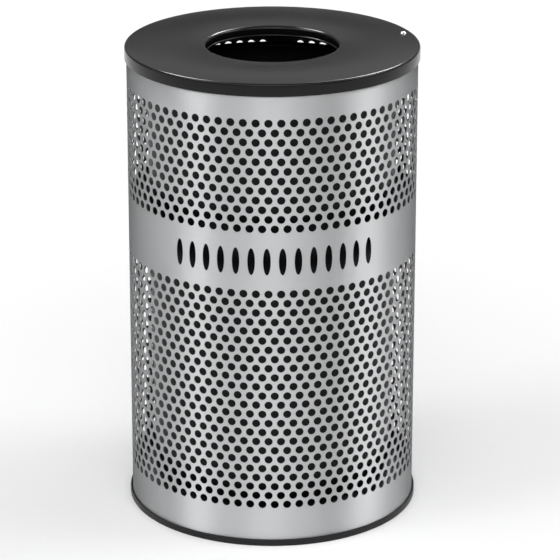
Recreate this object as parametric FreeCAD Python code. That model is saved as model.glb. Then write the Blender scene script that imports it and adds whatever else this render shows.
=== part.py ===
import FreeCAD, Part

import math
import os

from FreeCAD import Base, Vector

# A perforated litter can, in millimetres. The axis is Z, the floor is Z = 0, the front faces -Y
# and the sheet's butt seam is at the back, on +Y.

# Overall sizes
overall_height = 838.0  # floor to the lid's flat top
wrap_diameter = 508.0  # outside of the rolled sheet
wrap_thickness = 1.2

# Fits
lift_gap = 0.3  # between pieces that lift apart and rest on each other
weld_gap = 0.5  # between sheets that are spot-welded or pushed together
lid_clearance = 1.9  # between the sheet and the lid's skirt, all round
rivet_clearance = 0.1

# Perforation: staggered rows of round holes in two panels
hole_diameter = 14.0
hole_pitch = 21.5  # along a row, on the outside of the sheet
row_pitch = 16.9
lowest_row = 77.5  # height of the lowest row's centres
middle_band_bottom = 466.5  # no row of the lower panel is above this
middle_band_top = 583.0  # the upper panel's lowest row
top_band = 65.0  # least distance from the highest row to the sheet's top edge
seam_gap = 0.6  # the butt seam
seam_land = 60.0  # least distance across the seam between the holes at its two sides
seam_shift = hole_pitch  # from the middle of the back, towards +X; a whole pitch keeps the front even

# Oval slots across the front of the plain middle band
slot_count = 14
slot_width = 13.0
slot_height = 48.0
slot_pitch = 1.25 * hole_pitch

# Lid: a spun disc with a skirt and a turned-down throat
lid_thickness = 1.5
skirt_height = 22.0
skirt_corner_radius = 4.0
throat_diameter = 231.0
throat_depth = 17.0
throat_lip_radius = 6.0
throat_bead_diameter = 4.0  # the rolled lower edge of the throat

# Rivet near the lid's edge, with the eye that it holds
rivet_inset = 17.0  # from the lid's outside to the rivet's axis
rivet_angle = 15.6  # degrees from +X towards the back
rivet_head_diameter = 11.0
rivet_head_height = 3.0
rivet_shank_diameter = 4.8
rivet_tail_diameter = 8.0
rivet_tail_height = 2.5
tab_thickness = 1.5
tab_width = 14.0
tab_end = 7.0  # from the rivet's axis to the tab's outer end
tab_reach = 22.0  # from the rivet's axis to the tab's bend
tab_drop = 18.0
tab_bend_radius = 3.0
eye_diameter = 6.0

# Hoop inside the top edge, with the eye that is welded to it
hoop_height = 25.0
hoop_thickness = 3.0
eye_plate_width = 20.0
eye_plate_height = 18.0
eye_plate_thickness = 2.0
eye_reach = 6.0  # from the plate to the eye's axis
eye_margin = 4.0  # metal round the eye

# Strap inside the seam
strap_width = 45.0
strap_thickness = 1.2

# Channel-shaped edging along the sheet's lower edge
trim_height = 12.0
trim_wall = 3.5
trim_floor = 3.0
trim_edge_radius = 1.5

# Floor pan with a turned-down flange
pan_thickness = 1.2
pan_flange = 24.0
pan_corner_radius = 5.0
dish_diameter = 240.0
dish_depth = 5.0
dish_slope_width = 12.0
dish_radius = 6.0

# Liner that stands on the pan
liner_wall = 3.0
liner_drop = 56.0  # from the sheet's top edge to the liner's rim
liner_top_diameter = 438.0
liner_bottom_diameter = 422.0
liner_corner_radius = 22.0
liner_push_up = 6.0  # the raised middle of its floor
liner_foot_width = 40.0
liner_push_slope = 12.0
liner_push_radius = 8.0
rim_width = 9.0  # which lets the rim pass the eye on the hoop
rim_drop = 16.0
rim_radius = 4.0

# Derived radii and heights
wrap_outer = wrap_diameter / 2
wrap_inner = wrap_outer - wrap_thickness
lid_radius = wrap_outer + lid_clearance + lid_thickness
lid_underside = overall_height - lid_thickness
wrap_top = lid_underside - lift_gap
wrap_bottom = trim_floor + weld_gap
welded_radius = wrap_inner - weld_gap  # outside of what is welded inside the sheet
hoop_inner = welded_radius - hoop_thickness
hoop_bottom = wrap_top - hoop_height
pan_bottom = trim_height + weld_gap
pan_top = pan_bottom + pan_flange
liner_bottom = pan_top + lift_gap
liner_top = wrap_top - liner_drop
rivet_radius = lid_radius - rivet_inset
seam_turn = 90.0 - math.degrees(seam_shift / wrap_outer)  # degrees from +X, which is at the back
front = math.radians(270.0 - seam_turn)  # angle from the seam to the front
axis = Vector(0, 0, 1)
origin = Vector(0, 0, 0)


def at(radius, height):
    """A point of a profile in the XZ plane."""
    return Vector(radius, 0, height)


def runs(points):
    """The unit direction of each straight run of a path."""
    return [(b - a).normalize() for a, b in zip(points, points[1:])]


def left_of(direction):
    """The unit normal on the left of a direction in the XZ plane."""
    return Vector(-direction.z, 0, direction.x)


def rounded(points, radii):
    """The edges of a path of straight runs with a tangent arc at each inner corner."""
    edges = []
    start = points[0]
    for before, corner, after, radius in zip(points, points[1:], points[2:], radii):
        back = (before - corner).normalize()
        on = (after - corner).normalize()
        half = back.getAngle(on) / 2
        first = corner + back * (radius / math.tan(half))
        last = corner + on * (radius / math.tan(half))
        middle = corner + (back + on).normalize() * (radius / math.sin(half) - radius)
        edges.append(Part.LineSegment(start, first).toShape())
        edges.append(Part.Arc(first, middle, last).toShape())
        start = last
    edges.append(Part.LineSegment(start, points[-1]).toShape())
    return edges


def sheet_section(points, radii, thickness):
    """The section of bent sheet: a path and its copy at a thickness to the left, or right if negative."""
    directions = runs(points)
    normals = [left_of(d) for d in directions]
    far = [points[0] + normals[0] * thickness]
    far_radii = []
    for corner, d, e, n, m, radius in zip(
        points[1:], directions, directions[1:], normals, normals[1:], radii
    ):
        far.append(corner + (n + m) * (thickness / (1 + n.dot(m))))
        turns_left = n.dot(e) > 0
        far_radii.append(radius - thickness if turns_left else radius + thickness)
    far.append(points[-1] + normals[-1] * thickness)
    near_edges = rounded(points, radii)
    far_edges = rounded(far[::-1], far_radii[::-1])
    ends = [
        Part.LineSegment(points[-1], far[-1]).toShape(),
        Part.LineSegment(far[0], points[0]).toShape(),
    ]
    return Part.Face(Part.Wire(near_edges + [ends[0]] + far_edges + [ends[1]]))


def spun(section):
    """A section turned all the way round the can's axis."""
    return section.revolve(origin, axis, 360)


def ring(inner, outer, bottom, top):
    """A plain ring about the can's axis."""
    tube = Part.makeCylinder(outer, top - bottom, at(0, bottom))
    return tube.cut(Part.makeCylinder(inner, top - bottom, at(0, bottom)))


def arc_plate(inner, outer, bottom, top, width, middle):
    """A curved plate, width along its outside, centred on an angle in degrees."""
    turn = math.degrees(width / outer)
    corners = [at(inner, bottom), at(outer, bottom), at(outer, top), at(inner, top), at(inner, bottom)]
    plate = Part.Face(Part.makePolygon(corners)).revolve(origin, axis, turn)
    plate.rotate(origin, axis, middle - turn / 2)
    return plate


def row_heights():
    """The heights of the rows of holes, from the lowest."""
    lower = int((middle_band_bottom - lowest_row) / row_pitch) + 1
    upper = int((wrap_top - top_band - middle_band_top) / row_pitch) + 1
    heights = [lowest_row + row_pitch * i for i in range(lower)]
    return heights + [middle_band_top + row_pitch * i for i in range(upper)]


def row_angles(stagger):
    """The angles of one row's holes from the seam, in radians. A staggered row sits half a pitch along."""
    pitch = hole_pitch / wrap_outer
    columns = int((2 * math.pi * wrap_outer - seam_land) / hole_pitch) + 1
    count = columns - stagger
    return [math.pi + pitch * (i - (count - 1) / 2) for i in range(count)]


def punched_band(bottom, top, ovals):
    """The faces of one band of the rolled sheet, with an oval hole for each (angle, height, width, height)."""
    spans = (seam_gap / 2 / wrap_outer, 2 * math.pi - seam_gap / 2 / wrap_outer, bottom, top)
    skins = []
    for radius in (wrap_outer, wrap_inner):
        surface = Part.Cylinder()
        surface.Radius = radius
        skins.append((radius, surface.toShape(*spans)))
    ends = [
        Part.makeRuledSurface(a, b).Faces[0]
        for a, b in zip(skins[0][1].OuterWire.Edges, skins[1][1].OuterWire.Edges)
    ]
    rims = {radius: [] for radius, _ in skins}
    walls = []
    for angle, height, width, tall in ovals:
        centre = Base.Vector2d(angle, height)
        crown = Base.Vector2d(angle, height + tall / 2)
        edges = []
        for radius, skin in skins:
            side = Base.Vector2d(angle + width / 2 / radius, height)
            edge = Part.Geom2d.Ellipse2d(crown, side, centre).toShape(skin)
            rims[radius].append(Part.Wire([edge]))
            edges.append(edge)
        walls.append(Part.makeRuledSurface(*edges).Faces[0])
    for radius, skin in skins:
        if ovals:
            skin.cutHoles(rims[radius])
    outline = [e for e in ends if e.BoundBox.ZLength > lift_gap]
    outline += [e for e in ends if e.BoundBox.ZLength < lift_gap and is_sheet_edge(e.BoundBox.ZMin)]
    return [skin for _, skin in skins] + walls + outline


def is_sheet_edge(height):
    """Is this height the sheet's lower or upper edge, not a line between two bands?"""
    return min(abs(height - wrap_bottom), abs(height - wrap_top)) < lift_gap / 10


def make_body_wrap():
    """The rolled sheet, punched band by band: one band for each row, and plain bands between the panels."""
    bands = {}
    for index, height in enumerate(reversed(row_heights())):
        ovals = [(a, height, hole_diameter, hole_diameter) for a in row_angles(index % 2)]
        bands[height - row_pitch / 2, height + row_pitch / 2] = ovals
    middle = (middle_band_bottom + middle_band_top) / 2
    slot_step = slot_pitch / wrap_outer
    slots = [
        (front + slot_step * (i - (slot_count - 1) / 2), middle, slot_width, slot_height)
        for i in range(slot_count)
    ]
    faces = []
    reached = wrap_bottom
    for (bottom, top), ovals in sorted(bands.items()):
        if bottom - reached > lift_gap:
            faces += punched_band(reached, bottom, slots if reached < middle < bottom else [])
            reached = bottom
        faces += punched_band(reached, top, ovals)
        reached = top
    faces += punched_band(reached, wrap_top, [])
    sheet = Part.Compound(faces)
    sheet.sewShape()
    solid = Part.makeSolid(sheet.Shells[0])
    solid.rotate(origin, axis, seam_turn)
    return solid


def make_seam_strap():
    """The strip inside the butt seam, from the pan to the hoop."""
    inner = welded_radius - strap_thickness
    return arc_plate(
        inner, welded_radius, pan_top + weld_gap, hoop_bottom - weld_gap, strap_width, seam_turn
    )


def make_top_hoop():
    """The flat hoop that stiffens the top edge and carries the lid."""
    return ring(hoop_inner, welded_radius, hoop_bottom, wrap_top)


def make_tether_eye():
    """A curved plate on the hoop with an upright ear that has an eye through it."""
    plate_outer = hoop_inner - weld_gap
    plate_inner = plate_outer - eye_plate_thickness
    middle = (hoop_bottom + wrap_top) / 2
    bottom = middle - eye_plate_height / 2
    plate = arc_plate(plate_inner, plate_outer, bottom, bottom + eye_plate_height, eye_plate_width, 0)
    eye = at(plate_inner - eye_reach, bottom + eye_plate_height / 3)
    outer_radius = eye_diameter / 2 + eye_margin
    across = Vector(0, 1, 0)
    shift = across * (-eye_plate_thickness / 2)
    ear = Part.makeCylinder(outer_radius, eye_plate_thickness, eye + shift, across)
    web = Part.makeBox(
        plate_outer - eye.x - eye_plate_thickness / 2,
        eye_plate_thickness,
        2 * outer_radius,
        eye + shift - at(0, outer_radius),
    )
    hole = Part.makeCylinder(eye_diameter / 2, eye_plate_thickness, eye + shift, across)
    bracket = plate.fuse([ear, web]).cut(hole).removeSplitter()
    bracket.rotate(origin, axis, rivet_angle)
    return bracket


def make_base_trim():
    """The channel that is pushed on to the sheet's lower edge and stands on the floor."""
    groove_inner = wrap_inner - weld_gap
    groove_outer = wrap_outer + weld_gap
    inner = groove_inner - trim_wall
    outer = groove_outer + trim_wall
    floor_middle = at((inner + outer) / 2, 0)
    corners = [
        floor_middle,
        at(outer, 0),
        at(outer, trim_height),
        at(groove_outer, trim_height),
        at(groove_outer, trim_floor),
        at(groove_inner, trim_floor),
        at(groove_inner, trim_height),
        at(inner, trim_height),
        at(inner, 0),
        floor_middle,
    ]
    groove_radius = weld_gap
    radii = [trim_edge_radius] * 3 + [groove_radius] * 2 + [trim_edge_radius] * 3
    return spun(Part.Face(Part.Wire(rounded(corners, radii))))


def make_base_pan():
    """The floor of the can, dished in the middle, with a flange turned down on to the trim."""
    dish = dish_diameter / 2
    path = [
        at(0, pan_top - dish_depth),
        at(dish, pan_top - dish_depth),
        at(dish + dish_slope_width, pan_top),
        at(welded_radius, pan_top),
        at(welded_radius, pan_bottom),
    ]
    return spun(sheet_section(path, [dish_radius, dish_radius, pan_corner_radius], -pan_thickness))


def make_liner():
    """The tapered liner, with a raised floor, a foot ring and a rim turned out and down."""
    foot = liner_bottom_diameter / 2
    mouth = liner_top_diameter / 2
    push = foot - liner_foot_width
    under_rim = liner_top - liner_wall
    path = [
        at(0, liner_bottom + liner_push_up),
        at(push - liner_push_slope, liner_bottom + liner_push_up),
        at(push, liner_bottom),
        at(foot, liner_bottom),
        at(mouth, under_rim),
        at(mouth + rim_width, under_rim),
        at(mouth + rim_width, liner_top - rim_drop),
    ]
    radii = [liner_push_radius, liner_push_radius, liner_corner_radius, rim_radius, rim_radius]
    return spun(sheet_section(path, radii, liner_wall))


def rivet_place(height):
    """A point on the rivet's axis."""
    turn = math.radians(rivet_angle)
    return Vector(rivet_radius * math.cos(turn), rivet_radius * math.sin(turn), height)


def rivet_hole(bottom, top):
    """The clearance hole that the rivet's shank goes through."""
    radius = rivet_shank_diameter / 2 + rivet_clearance
    return Part.makeCylinder(radius, top - bottom, rivet_place(bottom))


def make_lid():
    """The spun lid: skirt, flat top and turned-down throat in one sheet, with a rolled lower edge."""
    throat = throat_diameter / 2
    path = [
        at(lid_radius, overall_height - skirt_height),
        at(lid_radius, overall_height),
        at(throat, overall_height),
        at(throat, overall_height - throat_depth),
    ]
    shell = spun(sheet_section(path, [skirt_corner_radius, throat_lip_radius], lid_thickness))
    bead = Part.makeTorus(
        throat + lid_thickness / 2, throat_bead_diameter / 2, at(0, overall_height - throat_depth)
    )
    return shell.fuse(bead).cut(rivet_hole(lid_underside, overall_height))


def make_lid_rivet():
    """A domed rivet through the lid and the tab below it."""
    head = rivet_head_diameter / 2
    shank = rivet_shank_diameter / 2
    tail = rivet_tail_diameter / 2
    grip = lid_underside - tab_thickness
    dome_radius = (head**2 + rivet_head_height**2) / (2 * rivet_head_height)
    dome_centre = overall_height + rivet_head_height - dome_radius
    half = math.asin(head / dome_radius) / 2
    crown = at(dome_radius * math.sin(half), dome_centre + dome_radius * math.cos(half))
    peak = at(0, overall_height + rivet_head_height)
    corners = [
        at(head, overall_height),
        at(shank, overall_height),
        at(shank, grip),
        at(tail, grip),
        at(tail, grip - rivet_tail_height),
        at(0, grip - rivet_tail_height),
        peak,
    ]
    edges = [Part.LineSegment(a, b).toShape() for a, b in zip(corners, corners[1:])]
    edges.append(Part.Arc(peak, crown, corners[0]).toShape())
    rivet = spun(Part.Face(Part.Wire(edges)))
    rivet.translate(rivet_place(0))
    return rivet


def make_tether_tab():
    """The bent tab under the rivet, with an eye in its turned-down end."""
    bend = rivet_radius - tab_reach
    path = [
        at(rivet_radius + tab_end, lid_underside),
        at(bend, lid_underside),
        at(bend, lid_underside - tab_drop),
    ]
    section = sheet_section(path, [tab_bend_radius], tab_thickness)
    section.translate(Vector(0, -tab_width / 2, 0))
    tab = section.extrude(Vector(0, tab_width, 0))
    eye_height = lid_underside - tab_drop + tab_width / 2
    eye = Part.makeCylinder(eye_diameter / 2, 2 * tab_thickness, at(bend, eye_height), Vector(1, 0, 0))
    tab = tab.cut(eye)
    tab.rotate(origin, axis, rivet_angle)
    return tab.cut(rivet_hole(lid_underside - tab_thickness, lid_underside))


nodes = {
    "body_wrap": make_body_wrap,
    "seam_strap": make_seam_strap,
    "top_hoop": make_top_hoop,
    "tether_eye": make_tether_eye,
    "base_trim": make_base_trim,
    "base_pan": make_base_pan,
    "liner": make_liner,
    "lid": make_lid,
    "lid_rivet": make_lid_rivet,
    "tether_tab": make_tether_tab,
}

os.makedirs("parts", exist_ok=True)
for name, make in nodes.items():
    shape = make()
    print(name, shape.ShapeType, len(shape.Solids), shape.isValid(), round(shape.Volume / 1000, 2), "cm3")
    shape.exportStep("parts/" + name + ".step")
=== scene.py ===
"""A perforated litter can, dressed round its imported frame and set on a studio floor."""

import math

import bmesh
import bpy
from bpy.props import FloatProperty, FloatVectorProperty, IntProperty, PointerProperty
from mathutils import Matrix, Vector


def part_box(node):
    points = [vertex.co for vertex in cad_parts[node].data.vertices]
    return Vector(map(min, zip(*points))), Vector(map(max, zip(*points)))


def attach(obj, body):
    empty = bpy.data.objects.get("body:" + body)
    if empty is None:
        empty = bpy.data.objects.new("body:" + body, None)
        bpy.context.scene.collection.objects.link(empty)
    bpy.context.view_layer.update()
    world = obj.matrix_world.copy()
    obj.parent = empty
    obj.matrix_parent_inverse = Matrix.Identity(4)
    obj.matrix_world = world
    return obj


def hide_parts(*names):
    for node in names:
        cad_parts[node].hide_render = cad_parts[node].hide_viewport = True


bl_info = {
    "name": "Perforated litter can",
    "version": (1, 0, 0),
    "blender": (4, 5, 0),
    "location": "View3D > Sidebar > Litter can",
    "description": "Makes a perforated litter can piece by piece, with its finishes and a stage",
    "category": "Object",
}

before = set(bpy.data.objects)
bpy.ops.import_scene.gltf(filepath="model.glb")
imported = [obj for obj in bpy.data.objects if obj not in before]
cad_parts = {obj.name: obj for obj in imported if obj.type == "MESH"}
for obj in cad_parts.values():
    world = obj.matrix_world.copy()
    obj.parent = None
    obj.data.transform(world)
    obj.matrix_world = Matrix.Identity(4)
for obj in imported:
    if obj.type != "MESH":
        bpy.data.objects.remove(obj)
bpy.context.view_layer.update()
MM = 0.001
FULL_TURN = 2 * math.pi
ROUND_STEPS = 144  # facets round the can
RIVET_STEPS = 32  # facets round the rivet
DOME_STEPS = 6  # facets from the rivet's peak to its edge
BEAD_STEPS = 16  # facets round the throat's rolled edge
STRAP_STEPS = 8  # facets across the seam strap
CELL_MARKS = 4  # marks along a hole's cell, where cells and plain bands share their points
CELL_ROWS = 2  # facets up a hole's cell
SLOT_MARKS = 5  # marks along a slot's cell
BAND_ROWS = 5  # facets up the middle band
EDGE_STEPS = 4  # facets between the last holes and the seam
WELD = 0.01 * MM  # points closer than this are one point
CUT_EDGE = 0.3 * MM  # bevel of a sheared steel edge
SMOOTH_TO = math.radians(40)  # edges up to this angle are shaded smooth
CREASE = math.radians(60)  # edges over this angle are bevelled
COLOUR_A, COLOUR_B, MIXED = 6, 7, 2  # colour sockets of a Mix node
BRUSHED, SHEARED, INNER_SIDE = 0, 1, 2  # material slots of the wrap

WRAP_LOW, WRAP_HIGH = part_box("body_wrap")
STRAP_LOW, STRAP_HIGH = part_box("seam_strap")
HOOP_LOW, HOOP_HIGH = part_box("top_hoop")
TRIM_LOW, TRIM_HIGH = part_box("base_trim")
PAN_LOW, PAN_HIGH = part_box("base_pan")
LINER_LOW, LINER_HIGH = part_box("liner")
LID_LOW, LID_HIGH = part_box("lid")
RIVET_LOW, RIVET_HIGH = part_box("lid_rivet")


def reach(low, high):
    """Radius of an upright round piece: the least reach of its box, so that it stays inside."""
    return min(high.x, high.y, -low.x, -low.y)


WRAP_RADIUS = reach(WRAP_LOW, WRAP_HIGH)


def linear(hex_colour):
    """The linear RGBA of an sRGB hex colour."""
    shares = [int(hex_colour[i : i + 2], 16) / 255 for i in (1, 3, 5)]
    curve = [s / 12.92 if s <= 0.04045 else ((s + 0.055) / 1.055) ** 2.4 for s in shares]
    return (*curve, 1.0)


def grey(level):
    """A grey of a linear brightness."""
    return (level, level, level, 1.0)


def length(name, description, millimetres):
    """A length that the user can change, given in millimetres."""
    return FloatProperty(
        name=name,
        description=description,
        default=millimetres * MM,
        min=0.0,
        unit="LENGTH",
        precision=5,
    )


def colour(name, description, hex_colour):
    """A colour that the user can change."""
    return FloatVectorProperty(
        name=name,
        description=description,
        default=linear(hex_colour),
        size=4,
        min=0,
        max=1,
        subtype="COLOR",
    )


class CanSizes(bpy.types.PropertyGroup):
    """Sizes of the can's pieces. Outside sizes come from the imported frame."""

    sheet: length("Sheet thickness", "Thickness of the rolled sheet", 1.2)
    hole: length("Hole diameter", "Diameter of the punched holes", 14.0)
    pitch: length("Hole pitch", "Distance between holes along a row", 21.5)
    row_pitch: length("Row pitch", "Distance between rows", 16.9)
    lowest_row: length("Lowest row", "Height of the lowest row of holes", 77.5)
    upper_row: length("Upper panel", "Height of the upper panel's lowest row", 583.0)
    lower_rows: IntProperty(name="Lower rows", description="Rows in the lower panel", default=24, min=1)
    upper_rows: IntProperty(name="Upper rows", description="Rows in the upper panel", default=12, min=1)
    columns: IntProperty(name="Columns", description="Holes in a full row", default=72, min=4)
    seam_gap: length("Seam gap", "Gap of the butt seam at the back", 0.6)
    seam_shift: length("Seam shift", "How far the seam is from the middle of the back", 21.5)
    strap: length("Strap width", "Width of the strip behind the seam", 45.0)
    slots: IntProperty(name="Slots", description="Oval slots in the middle band", default=14, min=2)
    slot_width: length("Slot width", "Width of a slot", 13.0)
    slot_height: length("Slot height", "Height of a slot", 48.0)
    lid_sheet: length("Lid thickness", "Thickness of the lid's sheet", 1.5)
    lid_corner: length("Lid corner", "Radius between the lid's top and skirt", 4.0)
    skirt_edge: length("Skirt edge", "Radius of the edges under the lid's skirt", 0.5)
    throat: length("Throat diameter", "Diameter of the lid's opening", 231.0)
    throat_depth: length("Throat depth", "How far the throat turns down", 17.0)
    throat_lip: length("Throat lip", "Radius of the throat's upper edge", 6.0)
    bead: length("Throat bead", "Diameter of the throat's rolled lower edge", 4.0)
    rivet_head: length("Rivet head", "Diameter of the rivet's head", 11.0)
    rivet_dome: length("Rivet dome", "Height of the rivet's head", 3.0)
    rivet_shank: length("Rivet shank", "Diameter of the rivet's shank", 4.8)
    rivet_tail: length("Rivet tail", "Diameter of the rivet's tail", 8.0)
    rivet_tail_height: length("Rivet tail height", "Height of the rivet's tail", 2.5)
    hoop: length("Hoop thickness", "Thickness of the top hoop", 3.0)
    hoop_edge: length("Hoop edge", "Radius of the hoop's edges", 0.4)
    trim_wall: length("Trim wall", "Thickness of the trim's sides", 3.5)
    trim_floor: length("Trim floor", "Thickness of the trim under the sheet", 3.0)
    trim_edge: length("Trim edge", "Radius of the trim's edges", 1.5)
    fit: length("Fit", "Gap between sheets that are welded or pushed together", 0.5)
    pan_sheet: length("Pan thickness", "Thickness of the floor pan", 1.2)
    pan_corner: length("Pan corner", "Radius between the pan and its flange", 5.0)
    dish: length("Dish diameter", "Diameter of the pan's dished middle", 240.0)
    dish_depth: length("Dish depth", "Depth of the pan's dished middle", 5.0)
    dish_slope: length("Dish slope", "Width of the slope round the dish", 12.0)
    dish_bend: length("Dish bend", "Radius of the bends above and below the dish's slope", 6.0)
    liner_wall: length("Liner wall", "Thickness of the liner", 3.0)
    liner_edge: length("Liner edge", "Radius of the liner's free edges", 1.0)
    liner_foot: length("Liner foot", "Diameter of the liner's foot", 422.0)
    liner_mouth: length("Liner mouth", "Diameter of the liner's mouth", 438.0)
    liner_corner: length("Liner corner", "Radius between the liner's floor and wall", 22.0)
    liner_push_up: length("Liner push-up", "Height of the liner's raised floor", 6.0)
    liner_bend: length("Liner bend", "Radius of the bends round the raised floor", 8.0)
    liner_ring: length("Liner foot ring", "Width of the ring that the liner stands on", 40.0)
    rim_width: length("Rim width", "How far the liner's rim turns out", 9.0)
    rim_drop: length("Rim drop", "How far the liner's rim turns down", 16.0)
    rim_bend: length("Rim bend", "Radius of the bends of the liner's rim", 4.0)


class CanFinish(bpy.types.PropertyGroup):
    """Colours of the can's materials and of the stage."""

    steel: colour("Stainless", "Brushed stainless sheet", "#d9dadb")
    steel_dark: colour("Stainless grain", "Darker lines of the brushed grain", "#cbcccd")
    steel_slant: colour("Stainless at a slant", "Share reflected at a slant", "#8c8c8c")
    sheared: colour("Sheared edge", "Walls of the punched holes", "#a7a8aa")
    # Partly painted shade: the inner side's dark grey is its duller unbrushed finish, darkened further
    # to stand for the shade inside the can.
    mill_and_shade: colour("Mill side", "Unbrushed inner side of the sheet", "#6a6b6e")
    enamel: colour("Enamel", "Black enamel of the lid", "#0c0c0d")
    vinyl: colour("Vinyl", "Black vinyl of the base trim", "#111114")
    liner: colour("Liner", "Black polyethylene of the liner", "#101012")
    mild_steel: colour("Mild steel", "Zinc-plated hoop, pan and eyes", "#9a9ca0")
    # Painted shade: the strip behind the seam is coloured near black to stand for the shade inside the
    # can, not for its steel.
    scale: colour("Mill scale", "Hot-rolled strip behind the seam", "#26282b")
    rivet: colour("Rivet", "Plain aluminium of the rivet", "#d6d7d9")
    floor: colour("Floor", "Studio floor", "#f9f9f9")
    wall: colour("Wall", "Studio wall behind the floor", "#a0a0a0")


def add_node(tree, kind, settings=None, inputs=None):
    """Adds a node with its own settings, and its inputs as values or as sockets to link from."""
    node = tree.nodes.new(kind)
    for name, value in (settings or {}).items():
        setattr(node, name, value)
    for name, value in (inputs or {}).items():
        if isinstance(value, bpy.types.NodeSocket):
            tree.links.new(value, node.inputs[name])
        else:
            node.inputs[name].default_value = value
    return node


def new_finish(name):
    """A material to fill, as (material, its tree, its output, object coordinates)."""
    finish = bpy.data.materials.new(name)
    finish.use_nodes = True
    tree = finish.node_tree
    tree.nodes.clear()
    output = add_node(tree, "ShaderNodeOutputMaterial")
    place = add_node(tree, "ShaderNodeTexCoord").outputs["Object"]
    return finish, tree, output, place


def brushed_stainless(colours):
    """Stainless sheet, belt-brushed along its length: the lines run round the can, so lamps show as
    upright streaks that are crisp across and long up and down."""
    finish, tree, output, place = new_finish("brushed_stainless_steel")
    # Belt lines are about 0.2 mm apart. They are drawn 1.5 mm apart, because finer ones don't show.
    line = 1 / (1.5 * MM)
    run = 1 / (90 * MM)
    stretch = add_node(tree, "ShaderNodeMapping", inputs={"Vector": place, "Scale": (run, run, line)})
    lines = add_node(
        tree,
        "ShaderNodeTexNoise",
        inputs={"Vector": stretch.outputs[0], "Scale": 1.0, "Detail": 3.0, "Roughness": 0.6},
    )
    # Handling leaves faint cloudy patches about 120 mm across.
    clouds = add_node(
        tree,
        "ShaderNodeTexNoise",
        inputs={"Vector": place, "Scale": 1 / (120 * MM), "Detail": 2.0, "Roughness": 0.5},
    )
    tone = add_node(
        tree,
        "ShaderNodeMix",
        {"data_type": "RGBA"},
        {"Factor": lines.outputs["Fac"], COLOUR_A: colours.steel_dark[:], COLOUR_B: colours.steel[:]},
    )
    both = add_node(
        tree,
        "ShaderNodeMath",
        {"operation": "MULTIPLY_ADD"},
        {0: clouds.outputs["Fac"], 1: 0.4, 2: lines.outputs["Fac"]},
    )
    roughness = add_node(
        tree,
        "ShaderNodeMapRange",
        inputs={
            "Value": both.outputs[0],
            "From Min": 0.4,
            "From Max": 1.0,
            "To Min": 0.44,
            "To Max": 0.54,
        },
    )
    bump = add_node(
        tree,
        "ShaderNodeBump",
        inputs={"Height": lines.outputs["Fac"], "Strength": 0.25, "Distance": 0.05 * MM},
    )
    grain = add_node(tree, "ShaderNodeTangent", {"direction_type": "RADIAL", "axis": "Z"})
    shader = add_node(
        tree,
        "ShaderNodeBsdfPrincipled",
        inputs={
            "Base Color": tone.outputs[MIXED],
            "Metallic": 1.0,
            "Roughness": roughness.outputs[0],
            # Chromium steel reflects less at a slant, which darkens the can towards its sides.
            "Specular Tint": colours.steel_slant[:],
            "Anisotropic": 1.0,
            "Anisotropic Rotation": 0.25,
            "Normal": bump.outputs[0],
            "Tangent": grain.outputs[0],
        },
    )
    tree.links.new(shader.outputs[0], output.inputs["Surface"])
    return finish


def plain_finish(name, colour_pair, metallic, gloss, roughness_pair, grit_mm, relief_mm, cloud_mm):
    """A finish with an even grit: two tones and two roughnesses in soft clouds, and a fine relief."""
    finish, tree, output, place = new_finish(name)
    clouds = add_node(
        tree,
        "ShaderNodeTexNoise",
        inputs={"Vector": place, "Scale": 1 / (cloud_mm * MM), "Detail": 3.0, "Roughness": 0.55},
    )
    grit = add_node(
        tree,
        "ShaderNodeTexNoise",
        inputs={"Vector": place, "Scale": 1 / (grit_mm * MM), "Detail": 2.0, "Roughness": 0.5},
    )
    tone = add_node(
        tree,
        "ShaderNodeMix",
        {"data_type": "RGBA"},
        {"Factor": clouds.outputs["Fac"], COLOUR_A: colour_pair[0], COLOUR_B: colour_pair[1]},
    )
    roughness = add_node(
        tree,
        "ShaderNodeMapRange",
        inputs={
            "Value": clouds.outputs["Fac"],
            "From Min": 0.3,
            "From Max": 0.7,
            "To Min": roughness_pair[0],
            "To Max": roughness_pair[1],
        },
    )
    bump = add_node(
        tree,
        "ShaderNodeBump",
        inputs={"Height": grit.outputs["Fac"], "Strength": 0.3, "Distance": relief_mm * MM},
    )
    shader = add_node(
        tree,
        "ShaderNodeBsdfPrincipled",
        inputs={
            "Base Color": tone.outputs[MIXED],
            "Metallic": metallic,
            "Specular IOR Level": gloss,
            "Roughness": roughness.outputs[0],
            "Normal": bump.outputs[0],
        },
    )
    tree.links.new(shader.outputs[0], output.inputs["Surface"])
    return finish


def shaded(colour_value, share):
    """A colour at a share of its brightness."""
    return (*[c * share for c in colour_value[:3]], 1.0)


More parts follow.
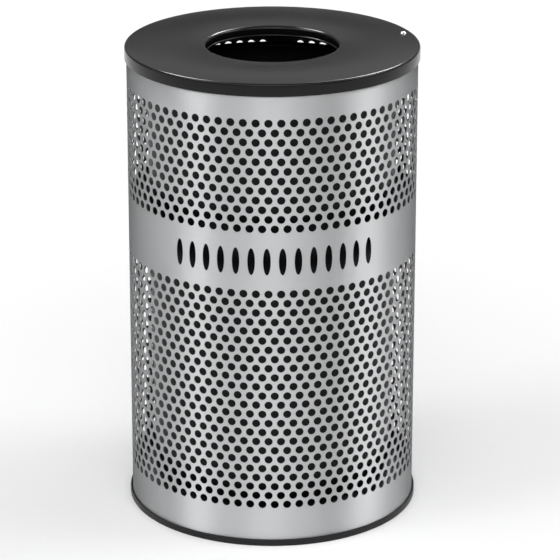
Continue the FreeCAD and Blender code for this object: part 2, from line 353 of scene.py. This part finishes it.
def finish_named(name):
    """A material of the can by name, made on its first use."""
    made = bpy.data.materials.get(name)
    if made:
        return made
    colours = bpy.context.scene.can_finish
    if name == "brushed_stainless_steel":
        return brushed_stainless(colours)
    # Each row holds a colour, the share of it in the darker clouds, metallic, gloss, the range of
    # roughness, and in millimetres the sizes of the grit, its relief and the clouds.
    tones = {
        # Punched walls: torn bright metal, greyer than the brushed face.
        "sheared_stainless_edge": (colours.sheared, 0.8, 1.0, 0.5, (0.35, 0.5), 0.6, 0.03, 4.0),
        # Unbrushed inner side of the sheet: dull grey, and darker still as painted shade for the inside
        # of the can.
        "inner_side_and_painted_shade": (colours.mill_and_shade, 0.8, 1.0, 0.5, (0.4, 0.5), 2.0, 0.02, 40.0),
        # Enamel baked on spun steel: even satin black with a faint orange peel, drawn 3 mm across.
        "baked_black_enamel": (colours.enamel, 0.85, 0.0, 0.25, (0.16, 0.2), 3.0, 0.003, 90.0),
        # Extruded vinyl edging: soft dull black.
        "extruded_black_vinyl": (colours.vinyl, 0.8, 0.0, 0.3, (0.36, 0.46), 1.2, 0.02, 30.0),
        # Rotation-moulded polyethylene: waxy black with a fine matt grain, drawn 1.5 mm across.
        "moulded_black_polyethylene": (colours.liner, 0.8, 0.0, 0.28, (0.28, 0.38), 1.5, 0.03, 70.0),
        # Strip behind the seam, in painted shade: dull blue-black, near black, standing for the shade
        # inside the can.
        "strap_painted_shade": (colours.scale, 0.75, 0.0, 0.4, (0.45, 0.6), 1.5, 0.03, 25.0),
        # Zinc-plated mild steel: dull silver with soft blotches.
        "zinc_plated_mild_steel": (colours.mild_steel, 0.8, 1.0, 0.5, (0.35, 0.5), 2.0, 0.02, 15.0),
        # Drawn aluminium rivet: bright and smooth.
        "drawn_aluminium": (colours.rivet, 0.9, 1.0, 0.5, (0.2, 0.28), 0.8, 0.01, 3.0),
    }
    base, share, *rest = tones[name]
    return plain_finish(name, (shaded(base, share), base[:]), *rest)


def finish_piece(name, bm, body, node, finishes):
    """Makes a bmesh a shaded object that rides on a body and stands for a CAD node."""
    mesh = bpy.data.meshes.new(name)
    bm.to_mesh(mesh)
    bm.free()
    for finish in finishes:
        mesh.materials.append(finish_named(finish))
    mesh.shade_smooth()
    mesh.set_sharp_from_angle(angle=SMOOTH_TO)
    piece = bpy.data.objects.new(name, mesh)
    bpy.context.scene.collection.objects.link(piece)
    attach(piece, body)
    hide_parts(node)


def draw_profile(bm, points, closed=False):
    """A path in the XZ plane from (radius, height) points, as its vertices in order."""
    verts = [bm.verts.new((radius, 0, height)) for radius, height in points]
    for a, b in zip(verts, verts[1:]):
        bm.edges.new((a, b))
    if closed:
        bm.edges.new((verts[-1], verts[0]))
    return verts


def round_corner(bm, corner, radius, segments=5):
    """Rounds one corner of a path to a radius."""
    a, b = [edge.other_vert(corner).co - corner.co for edge in corner.link_edges]
    bmesh.ops.bevel(
        bm,
        geom=[corner],
        offset=radius / math.tan(a.angle(b) / 2),
        offset_type="OFFSET",
        segments=segments,
        profile=0.5,
        affect="VERTICES",
        material=-1,
    )


def turn_round(bm, steps=ROUND_STEPS):
    """Turns a path all the way round the upright axis, and points its faces the same way."""
    bmesh.ops.spin(
        bm,
        geom=bm.verts[:] + bm.edges[:],
        cent=(0, 0, 0),
        axis=(0, 0, 1),
        angle=FULL_TURN,
        steps=steps,
        use_merge=True,
    )
    bmesh.ops.remove_doubles(bm, verts=bm.verts[:], dist=WELD)
    bmesh.ops.recalc_face_normals(bm, faces=bm.faces[:])


def thicken(bm, thickness, outward):
    """Gives a turned sheet its thickness, behind the side that outward says is the face side."""
    lean = sum(outward(face) * face.calc_area() for face in bm.faces)
    if lean < 0:
        bmesh.ops.reverse_faces(bm, faces=bm.faces[:])
    bmesh.ops.solidify(bm, geom=bm.faces[:], thickness=thickness)


def soften_edges(bm, width, segments=2):
    """Bevels every sharp edge."""
    sharp = [e for e in bm.edges if e.is_manifold and e.calc_face_angle() > CREASE]
    bmesh.ops.bevel(
        bm,
        geom=sharp,
        offset=width,
        offset_type="OFFSET",
        segments=segments,
        profile=0.5,
        affect="EDGES",
        material=-1,
        clamp_overlap=True,
    )


def roll(bm, radius, turn=0.0):
    """Rolls a flat sheet round the can: X is the arc from the front, Y the height and Z outwards."""
    for vert in bm.verts:
        angle = vert.co.x / radius + turn
        out = radius + vert.co.z
        vert.co = Vector((out * math.sin(angle), -out * math.cos(angle), vert.co.y))


def lay_grid(bm, left, right, bottom, top, columns, rows):
    """A flat grid of plain sheet."""
    middle = Matrix.Translation(((left + right) / 2, (bottom + top) / 2, 0))
    spread = Matrix.Diagonal(((right - left) / 2, (top - bottom) / 2, 1, 1))
    return bmesh.ops.create_grid(
        bm, x_segments=columns, y_segments=rows, size=1.0, matrix=middle @ spread
    )["verts"]


def punch_cell(bm, centre, width, height, columns, rows, hole_width, hole_height):
    """A flat cell of sheet with an oval hole in it: an outline bridged to the hole's edge."""
    x, y = centre
    before = set(bm.verts)
    verts = lay_grid(
        bm, x - width / 2, x + width / 2, y - height / 2, y + height / 2, columns, rows
    )
    bmesh.ops.delete(bm, geom=[v for v in verts if not v.is_boundary], context="VERTS")
    outline = {e for v in bm.verts if v not in before for e in v.link_edges}
    oval = Matrix.Translation((x, y, 0)) @ Matrix.Diagonal((hole_width / 2, hole_height / 2, 1, 1))
    sides = 2 * (columns + rows)
    # The hole has straight sides, so its corners stand out a little to give it a round hole's area.
    same_area = math.sqrt(FULL_TURN / (sides * math.sin(FULL_TURN / sides)))
    hole = bmesh.ops.create_circle(
        bm, cap_ends=False, segments=sides, radius=same_area, matrix=oval
    )["verts"]
    edge = {e for v in hole for e in v.link_edges}
    return bmesh.ops.bridge_loops(bm, edges=list(outline | edge))["faces"]


def repeat(bm, faces, moves):
    """Copies faces to each of a list of moves."""
    geom = list({v for f in faces for v in f.verts} | {e for f in faces for e in f.edges}) + list(faces)
    for move in moves:
        copy = bmesh.ops.duplicate(bm, geom=geom)["geom"]
        verts = [v for v in copy if isinstance(v, bmesh.types.BMVert)]
        bmesh.ops.translate(bm, verts=verts, vec=move)


class CAN_OT_perforated_wrap(bpy.types.Operator):
    """Punches the sheet flat, cell by cell, and rolls it into the can's body"""

    bl_idname = "litter_can.perforated_wrap"
    bl_label = "Perforated wrap"

    def execute(self, context):
        sizes = context.scene.can_sizes
        mark = sizes.pitch / CELL_MARKS
        end = CELL_MARKS * sizes.columns // 2
        half_row = sizes.row_pitch / 2
        edge = math.pi * WRAP_RADIUS - sizes.seam_gap / 2
        bm = bmesh.new()
        rows = [self.punch_row(sizes, staggered, edge) for staggered in (0, 1)]
        self.lay_panel(bm, sizes, rows, sizes.lowest_row, sizes.lower_rows, sizes.upper_rows)
        self.lay_panel(bm, sizes, rows, sizes.upper_row, sizes.upper_rows, 0)
        for row in rows:
            bpy.data.meshes.remove(row)
        lower_top = sizes.lowest_row + sizes.row_pitch * (sizes.lower_rows - 1) + half_row
        upper_bottom = sizes.upper_row - half_row
        upper_top = upper_bottom + sizes.row_pitch * sizes.upper_rows
        self.lay_plain(bm, sizes, -end, end, WRAP_LOW.z, sizes.lowest_row - half_row, edge, 1)
        self.lay_plain(bm, sizes, -end, end, upper_top, WRAP_HIGH.z, edge, 1)
        # The flat sheet ends at the seam, so the can's front is off its middle by the seam's shift.
        front = round(sizes.seam_shift / mark)
        slots_start = front - SLOT_MARKS * sizes.slots // 2
        slots_end = slots_start + SLOT_MARKS * sizes.slots
        self.lay_plain(bm, sizes, -end, slots_start, lower_top, upper_bottom, edge, BAND_ROWS)
        self.lay_plain(bm, sizes, slots_end, end, lower_top, upper_bottom, edge, BAND_ROWS)
        step = SLOT_MARKS * mark
        first = slots_start * mark + step / 2
        band_middle = (lower_top + upper_bottom) / 2
        slot = punch_cell(
            bm,
            (first, band_middle),
            step,
            upper_bottom - lower_top,
            SLOT_MARKS,
            BAND_ROWS,
            sizes.slot_width,
            sizes.slot_height,
        )
        repeat(bm, slot, [(step * i, 0, 0) for i in range(1, sizes.slots)])
        bmesh.ops.remove_doubles(bm, verts=bm.verts[:], dist=WELD)
        turned = [f for f in bm.faces if f.normal.z < 0]
        bmesh.ops.reverse_faces(bm, faces=turned)
        bmesh.ops.solidify(bm, geom=bm.faces[:], thickness=sizes.sheet)
        for face in bm.faces:
            side = face.normal.z
            face.material_index = BRUSHED if side > 0.5 else INNER_SIDE if side < -0.5 else SHEARED
        open_edges = sum(1 for e in bm.edges if not e.is_manifold)
        if open_edges:
            raise RuntimeError(f"the wrap has {open_edges} open edges")
        roll(bm, WRAP_RADIUS, -sizes.seam_shift / WRAP_RADIUS)
        # The inner side's finish is partly painted shade, darker than its steel, for the inside of the
        # can.
        finish_piece(
            "perforated_wrap",
            bm,
            "can",
            "body_wrap",
            ["brushed_stainless_steel", "sheared_stainless_edge", "inner_side_and_painted_shade"],
        )
        return {"FINISHED"}

    def punch_row(self, sizes, staggered, edge):
        """One row of cells about height zero, carried on to the sheet's ends, as a mesh."""
        bm = bmesh.new()
        count = sizes.columns - staggered
        first = -(count - 1) / 2 * sizes.pitch
        half = sizes.row_pitch / 2
        cell = punch_cell(
            bm,
            (first, 0),
            sizes.pitch,
            sizes.row_pitch,
            CELL_MARKS,
            CELL_ROWS,
            sizes.hole,
            sizes.hole,
        )
        repeat(bm, cell, [(sizes.pitch * k, 0, 0) for k in range(1, count)])
        reached, full = count * sizes.pitch / 2, sizes.columns * sizes.pitch / 2
        for side in (-1, 1):
            if staggered:
                spare = sorted((side * reached, side * full))
                lay_grid(bm, *spare, -half, half, CELL_MARKS // 2, CELL_ROWS)
            margin = sorted((side * full, side * edge))
            lay_grid(bm, *margin, -half, half, EDGE_STEPS, CELL_ROWS)
        row = bpy.data.meshes.new("punched_row")
        bm.to_mesh(row)
        bm.free()
        return row

    def lay_panel(self, bm, sizes, rows, lowest, count, count_above):
        """One perforated panel: each second row, counted from the top, sits half a pitch along."""
        for i in range(count):
            row = rows[(count_above + count - 1 - i) % 2].copy()
            row.transform(Matrix.Translation((0, lowest + sizes.row_pitch * i, 0)))
            bm.from_mesh(row)
            bpy.data.meshes.remove(row)

    def lay_plain(self, bm, sizes, first, last, bottom, top, edge, rows):
        """A plain band between two marks, carried on to the sheet's ends from the outermost marks."""
        mark = sizes.pitch / CELL_MARKS
        end = CELL_MARKS * sizes.columns // 2
        lay_grid(bm, first * mark, last * mark, bottom, top, last - first, rows)
        if first == -end:
            lay_grid(bm, -edge, first * mark, bottom, top, EDGE_STEPS, rows)
        if last == end:
            lay_grid(bm, last * mark, edge, bottom, top, EDGE_STEPS, rows)


class CAN_OT_seam_strap(bpy.types.Operator):
    """Rolls the strip that closes the seam from inside"""

    bl_idname = "litter_can.seam_strap"
    bl_label = "Seam strap"

    def execute(self, context):
        sizes = context.scene.can_sizes
        outer = WRAP_RADIUS - sizes.sheet - sizes.fit
        half = sizes.strap / 2
        bm = bmesh.new()
        lay_grid(bm, -half, half, STRAP_LOW.z, STRAP_HIGH.z, STRAP_STEPS, 1)
        bmesh.ops.solidify(bm, geom=bm.faces[:], thickness=sizes.sheet)
        soften_edges(bm, CUT_EDGE)
        roll(bm, outer, math.pi - sizes.seam_shift / WRAP_RADIUS)
        # Its finish is painted shade: near black, for the shade inside the can.
        finish_piece(
            "seam_strap_steel", bm, "can", "seam_strap", ["strap_painted_shade"]
        )
        return {"FINISHED"}


class CAN_OT_top_hoop(bpy.types.Operator):
    """Turns the flat hoop that stiffens the top edge"""

    bl_idname = "litter_can.top_hoop"
    bl_label = "Top hoop"

    def execute(self, context):
        sizes = context.scene.can_sizes
        outer = reach(HOOP_LOW, HOOP_HIGH)
        inner = outer - sizes.hoop
        bm = bmesh.new()
        corners = draw_profile(
            bm,
            [(inner, HOOP_LOW.z), (outer, HOOP_LOW.z), (outer, HOOP_HIGH.z), (inner, HOOP_HIGH.z)],
            closed=True,
        )
        for corner in corners:
            round_corner(bm, corner, sizes.hoop_edge, 2)
        turn_round(bm)
        finish_piece("top_hoop_steel", bm, "can", "top_hoop", ["zinc_plated_mild_steel"])
        return {"FINISHED"}


class CAN_OT_base_trim(bpy.types.Operator):
    """Turns the channel-shaped edging that stands on the floor"""

    bl_idname = "litter_can.base_trim"
    bl_label = "Base trim"

    def execute(self, context):
        sizes = context.scene.can_sizes
        outer = reach(TRIM_LOW, TRIM_HIGH)
        groove_outer = outer - sizes.trim_wall
        groove_inner = WRAP_RADIUS - sizes.sheet - sizes.fit
        inner = groove_inner - sizes.trim_wall
        top = TRIM_HIGH.z
        bm = bmesh.new()
        corners = draw_profile(
            bm,
            [
                (inner, 0),
                (outer, 0),
                (outer, top),
                (groove_outer, top),
                (groove_outer, sizes.trim_floor),
                (groove_inner, sizes.trim_floor),
                (groove_inner, top),
                (inner, top),
            ],
            closed=True,
        )
        for corner in corners:
            in_groove = abs(corner.co.z - sizes.trim_floor) < WELD
            round_corner(bm, corner, sizes.fit if in_groove else sizes.trim_edge, 4)
        turn_round(bm)
        finish_piece("base_trim_vinyl", bm, "can", "base_trim", ["extruded_black_vinyl"])
        return {"FINISHED"}


class CAN_OT_base_pan(bpy.types.Operator):
    """Turns the dished floor pan with its flange"""

    bl_idname = "litter_can.base_pan"
    bl_label = "Base pan"

    def execute(self, context):
        sizes = context.scene.can_sizes
        dish = sizes.dish / 2
        low = PAN_HIGH.z - sizes.dish_depth
        outer = reach(PAN_LOW, PAN_HIGH)
        bm = bmesh.new()
        path = draw_profile(
            bm,
            [
                (0, low),
                (dish, low),
                (dish + sizes.dish_slope, PAN_HIGH.z),
                (outer, PAN_HIGH.z),
                (outer, PAN_LOW.z),
            ],
        )
        radii = (sizes.dish_bend, sizes.dish_bend, sizes.pan_corner)
        for corner, radius in zip(path[1:], radii):
            round_corner(bm, corner, radius)
        turn_round(bm)
        thicken(bm, sizes.pan_sheet, lambda face: face.normal.z)
        soften_edges(bm, CUT_EDGE)
        finish_piece("base_pan_steel", bm, "can", "base_pan", ["zinc_plated_mild_steel"])
        return {"FINISHED"}


class CAN_OT_liner(bpy.types.Operator):
    """Turns the tapered liner with its raised floor and turned-down rim"""

    bl_idname = "litter_can.liner"
    bl_label = "Liner"

    def execute(self, context):
        sizes = context.scene.can_sizes
        foot = sizes.liner_foot / 2
        mouth = sizes.liner_mouth / 2
        push = foot - sizes.liner_ring
        under_rim = LINER_HIGH.z - sizes.liner_wall
        rim = mouth + sizes.rim_width
        bm = bmesh.new()
        path = draw_profile(
            bm,
            [
                (0, LINER_LOW.z + sizes.liner_push_up),
                (push - 2 * sizes.liner_push_up, LINER_LOW.z + sizes.liner_push_up),
                (push, LINER_LOW.z),
                (foot, LINER_LOW.z),
                (mouth, under_rim),
                (rim, under_rim),
                (rim, LINER_HIGH.z - sizes.rim_drop),
            ],
        )
        floor_bend, rim_bend = sizes.liner_bend, sizes.rim_bend
        radii = (floor_bend, floor_bend, sizes.liner_corner, rim_bend, rim_bend)
        for corner, radius in zip(path[1:], radii):
            round_corner(bm, corner, radius)
        turn_round(bm)
        thicken(
            bm, sizes.liner_wall, lambda face: face.normal.dot(face.calc_center_median().xy.to_3d())
        )
        soften_edges(bm, sizes.liner_edge, 3)
        finish_piece(
            "liner_moulding", bm, "liner", "liner", ["moulded_black_polyethylene"]
        )
        return {"FINISHED"}


class CAN_OT_lid(bpy.types.Operator):
    """Turns the lid: skirt, flat top and throat with a rolled lower edge"""

    bl_idname = "litter_can.lid"
    bl_label = "Lid"

    def execute(self, context):
        sizes = context.scene.can_sizes
        sheet = sizes.lid_sheet
        outer, top, skirt = reach(LID_LOW, LID_HIGH), LID_HIGH.z, LID_LOW.z
        throat = sizes.throat / 2
        bead = sizes.bead / 2
        bead_height = top - sizes.throat_depth
        bm = bmesh.new()
        upright = Matrix.Rotation(math.pi / 2, 4, "X")
        ring = bmesh.ops.create_circle(
            bm,
            cap_ends=False,
            segments=BEAD_STEPS,
            radius=bead,
            matrix=Matrix.Translation((throat + sheet / 2, 0, bead_height)) @ upright,
        )["verts"]
        crown = max(ring, key=lambda v: v.co.z)
        near, far = sorted((e.other_vert(crown) for e in crown.link_edges), key=lambda v: v.co.x)
        bmesh.ops.delete(bm, geom=[crown], context="VERTS")
        path = draw_profile(
            bm,
            [
                (throat, top),
                (outer, top),
                (outer, skirt),
                (outer - sheet, skirt),
                (outer - sheet, top - sheet),
                (throat + sheet, top - sheet),
            ],
        )
        bm.edges.new((near, path[0]))
        bm.edges.new((path[-1], far))
        lip, corner, edge = sizes.throat_lip, sizes.lid_corner, sizes.skirt_edge
        for vert, radius in zip(path, (lip, corner, edge, edge, corner - sheet, lip - sheet)):
            round_corner(bm, vert, radius, 6)
        turn_round(bm)
        finish_piece("lid_enamel", bm, "lid", "lid", ["baked_black_enamel"])
        return {"FINISHED"}


class CAN_OT_lid_rivet(bpy.types.Operator):
    """Turns the domed rivet near the lid's edge"""

    bl_idname = "litter_can.lid_rivet"
    bl_label = "Lid rivet"

    def execute(self, context):
        sizes = context.scene.can_sizes
        head, shank, tail = sizes.rivet_head / 2, sizes.rivet_shank / 2, sizes.rivet_tail / 2
        x, y = (RIVET_LOW.x + RIVET_HIGH.x) / 2, (RIVET_LOW.y + RIVET_HIGH.y) / 2
        dome = (head**2 + sizes.rivet_dome**2) / (2 * sizes.rivet_dome)
        bm = bmesh.new()
        peak = bm.verts.new((0, 0, RIVET_HIGH.z))
        arc = bmesh.ops.spin(
            bm,
            geom=[peak],
            cent=(0, 0, RIVET_HIGH.z - dome),
            axis=(0, 1, 0),
            angle=math.asin(head / dome),
            steps=DOME_STEPS,
        )
        rim = [v for v in arc["geom_last"] if isinstance(v, bmesh.types.BMVert)][0]
        grip = RIVET_LOW.z + sizes.rivet_tail_height
        path = draw_profile(
            bm,
            [
                (shank, LID_HIGH.z),
                (shank, grip),
                (tail, grip),
                (tail, RIVET_LOW.z),
                (0, RIVET_LOW.z),
            ],
        )
        bm.edges.new((rim, path[0]))
        turn_round(bm, RIVET_STEPS)
        bmesh.ops.translate(bm, verts=bm.verts[:], vec=(x, y, 0))
        finish_piece("lid_rivet_dome", bm, "lid", "lid_rivet", ["drawn_aluminium"])
        return {"FINISHED"}


class CAN_OT_tether_eyes(bpy.types.Operator):
    """Gives the two small bent eyes their finish"""

    bl_idname = "litter_can.tether_eyes"
    bl_label = "Tether eyes"

    def execute(self, context):
        for name in ("tether_eye", "tether_tab"):
            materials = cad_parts[name].data.materials
            materials.clear()
            materials.append(finish_named("zinc_plated_mild_steel"))
        return {"FINISHED"}


class CAN_OT_stage(bpy.types.Operator):
    """Sets the floor, the studio light and the camera"""

    bl_idname = "litter_can.stage"
    bl_label = "Stage"

    def execute(self, context):
        scene = context.scene
        self.lay_floor(scene)
        self.light_room(scene)
        self.hang_lamps(scene)
        self.place_camera(scene)
        scene.view_settings.view_transform = "Standard"
        return {"FINISHED"}

    def lay_floor(self, scene):
        """A pale floor that sweeps up into a low wall far from the can."""
        radius, wall_top, cove = 9.0, 1.95, 1.2
        # Matt paint: next to no gloss, with soft roller marks about 800 mm across in its roughness.
        finish, tree, output, place = new_finish("painted_studio_floor")
        marks = add_node(
            tree,
            "ShaderNodeTexNoise",
            inputs={"Vector": place, "Scale": 1 / (800 * MM), "Detail": 2.0},
        )
        roughness = add_node(
            tree,
            "ShaderNodeMapRange",
            inputs={"Value": marks.outputs["Fac"], "To Min": 0.7, "To Max": 0.9},
        )
        # The floor's paint goes over into the wall's on the way up the cove.
        parts = add_node(tree, "ShaderNodeSeparateXYZ", inputs={0: place})
        height = add_node(
            tree,
            "ShaderNodeMapRange",
            inputs={"Value": parts.outputs["Z"], "From Min": 0.05, "From Max": cove},
        )
        paint = add_node(
            tree,
            "ShaderNodeMix",
            {"data_type": "RGBA"},
            {
                "Factor": height.outputs[0],
                COLOUR_A: scene.can_finish.floor[:],
                COLOUR_B: scene.can_finish.wall[:],
            },
        )
        shader = add_node(
            tree,
            "ShaderNodeBsdfPrincipled",
            inputs={
                "Base Color": paint.outputs[MIXED],
                "Roughness": roughness.outputs[0],
                "Specular IOR Level": 0.1,
            },
        )
        tree.links.new(shader.outputs[0], output.inputs["Surface"])
        bm = bmesh.new()
        path = draw_profile(bm, [(0, 0), (radius, 0), (radius, wall_top)])
        round_corner(bm, path[1], cove, 12)
        turn_round(bm)
        if sum(face.normal.z for face in bm.faces) < 0:
            bmesh.ops.reverse_faces(bm, faces=bm.faces[:])
        mesh = bpy.data.meshes.new("studio_floor")
        bm.to_mesh(mesh)
        bm.free()
        mesh.materials.append(finish)
        mesh.shade_smooth()
        floor = bpy.data.objects.new("studio_floor", mesh)
        scene.collection.objects.link(floor)

    def light_room(self, scene):
        """A room with a dark dado, a dim ceiling, and between them brighter and darker walls, which the
        steel shows as streaks."""
        brightness = 5.2
        dado, dado_fade = grey(0.03), (0.34, 0.46)
        ceiling, ceiling_fade = grey(0.09), (0.68, 0.84)
        world = bpy.data.worlds.new("studio_room")
        scene.world = world
        world.use_nodes = True
        tree = world.node_tree
        tree.nodes.clear()
        towards = add_node(tree, "ShaderNodeTexCoord").outputs["Generated"]
        parts = add_node(tree, "ShaderNodeSeparateXYZ", inputs={0: towards})
        front = add_node(
            tree,
            "ShaderNodeMath",
            {"operation": "MULTIPLY"},
            {0: parts.outputs["Y"], 1: -1.0},
        )
        bearing = add_node(
            tree,
            "ShaderNodeMath",
            {"operation": "ARCTAN2"},
            {0: parts.outputs["X"], 1: front.outputs[0]},
        )
        share = add_node(
            tree,
            "ShaderNodeMapRange",
            inputs={"Value": bearing.outputs[0], "From Min": -math.pi, "From Max": math.pi},
        )
        walls = add_node(tree, "ShaderNodeValToRGB", inputs={0: share.outputs[0]})
        # Bearings in degrees from the front, and the share of the room's full brightness there.
        stops = (
            (-180, 0.04),
            (-160, 0.04),
            (-135, 0.1),
            (-88, 0.28),
            (-75, 1.0),
            (-61, 1.0),
            (-52, 0.42),
            (-24, 0.47),
            (-15, 0.78),
            (7, 0.76),
            (18, 0.51),
            (35, 0.41),
            (52, 0.13),
            (70, 0.38),
            (82, 0.96),
            (97, 0.96),
            (110, 0.36),
            (135, 0.27),
            (160, 0.05),
            (180, 0.04),
        )
        band = walls.color_ramp
        while len(band.elements) < len(stops):
            band.elements.new(0.5)
        for element, (degrees, level) in zip(band.elements, stops):
            element.position = degrees / 360 + 0.5
            element.color = grey(level)
        height = parts.outputs["Z"]
        room = self.mix_by_height(tree, height, dado_fade, dado, walls.outputs[0])
        room = self.mix_by_height(tree, height, ceiling_fade, room, ceiling)
        air = add_node(tree, "ShaderNodeBackground", inputs={"Color": room, "Strength": brightness})
        output = add_node(tree, "ShaderNodeOutputWorld")
        tree.links.new(air.outputs[0], output.inputs["Surface"])

    def mix_by_height(self, tree, height, limits, below, above):
        """Goes over from one brightness to another between two heights, with 1 straight overhead."""
        share = add_node(
            tree,
            "ShaderNodeMapRange",
            {"interpolation_type": "SMOOTHSTEP"},
            {"Value": height, "From Min": limits[0], "From Max": limits[1]},
        )
        mix = add_node(
            tree,
            "ShaderNodeMix",
            {"data_type": "RGBA"},
            {"Factor": share.outputs[0], COLOUR_A: below, COLOUR_B: above},
        )
        return mix.outputs[MIXED]

    def hang_lamps(self, scene):
        """Panels behind the can: two narrow beams draw the bright lines along the lid's edges, and a
        weak wide one lightens the front of its top. They light reflections alone."""
        aim = Vector((0, -0.2, LID_HIGH.z))
        # Beams are in degrees, and the glow is a panel's brightness.
        for name, place, width, depth, beam, glow in (
            ("left_panel", (-1.0, 0.85, 2.7), 0.9, 0.8, 40, 44.0),
            ("right_panel", (0.85, 1.8, 2.6), 0.9, 0.8, 40, 33.0),
            ("back_panel", (0, 1.4, 1.75), 2.4, 1.0, 180, 0.33),
        ):
            lamp = bpy.data.lights.new(name, "AREA")
            lamp.shape = "RECTANGLE"
            lamp.size, lamp.size_y = width, depth
            lamp.spread = math.radians(beam)
            # A lamp's energy is shared out within its beam, so a narrow beam needs less for its glow.
            kept = 1 - lamp.spread / 2 / math.tan(lamp.spread / 2)
            lamp.energy = math.pi * width * depth * glow * kept
            panel = bpy.data.objects.new(name, lamp)
            panel.location = place
            panel.rotation_euler = (aim - panel.location).to_track_quat("-Z", "Y").to_euler()
            panel.visible_camera = False
            panel.visible_diffuse = False
            scene.collection.objects.link(panel)

    def place_camera(self, scene):
        """A long lens in front of the can and above it, as in the photograph."""
        away, height = 5.08, 2.229
        bearing, tilt = math.radians(0.97), 0.3338
        # The lens and the point that it is centred on, in pixels of the square picture.
        frame_pixels = 560
        lens_pixels, middle_x, middle_y = 3027.0, 272.29, 245.0
        camera = bpy.data.cameras.new("camera")
        camera.sensor_width = 36.0
        camera.lens = lens_pixels / frame_pixels * camera.sensor_width
        camera.shift_x = 0.5 - middle_x / frame_pixels
        camera.shift_y = middle_y / frame_pixels - 0.5
        camera.clip_end = 100.0
        holder = bpy.data.objects.new("camera", camera)
        holder.location = (-away * math.sin(bearing), -away * math.cos(bearing), height)
        holder.rotation_euler = (math.pi / 2 - tilt, 0, -bearing)
        scene.collection.objects.link(holder)
        scene.camera = holder


class CAN_PT_pieces(bpy.types.Panel):
    """Lists the can's pieces, sizes and colours"""

    bl_idname = "CAN_PT_pieces"
    bl_label = "Litter can"
    bl_space_type = "VIEW_3D"
    bl_region_type = "UI"
    bl_category = "Litter can"

    def draw(self, context):
        for operator in OPERATORS:
            self.layout.operator(operator.bl_idname)
        for group in (context.scene.can_sizes, context.scene.can_finish):
            box = self.layout.box()
            for name in group.__annotations__:
                box.prop(group, name)


OPERATORS = (
    CAN_OT_perforated_wrap,
    CAN_OT_seam_strap,
    CAN_OT_top_hoop,
    CAN_OT_base_trim,
    CAN_OT_base_pan,
    CAN_OT_liner,
    CAN_OT_lid,
    CAN_OT_lid_rivet,
    CAN_OT_tether_eyes,
    CAN_OT_stage,
)
CLASSES = (CanSizes, CanFinish, *OPERATORS, CAN_PT_pieces)


def register():
    """Adds the classes, and the sizes and colours of a scene."""
    for cls in CLASSES:
        bpy.utils.register_class(cls)
    bpy.types.Scene.can_sizes = PointerProperty(type=CanSizes)
    bpy.types.Scene.can_finish = PointerProperty(type=CanFinish)


def unregister():
    """Takes away what register adds."""
    del bpy.types.Scene.can_finish
    del bpy.types.Scene.can_sizes
    for cls in reversed(CLASSES):
        bpy.utils.unregister_class(cls)


def main():
    """Makes every piece and the stage."""
    register()
    for operator in OPERATORS:
        group, name = operator.bl_idname.split(".")
        getattr(getattr(bpy.ops, group), name)()


if __name__ == "__main__":
    main()
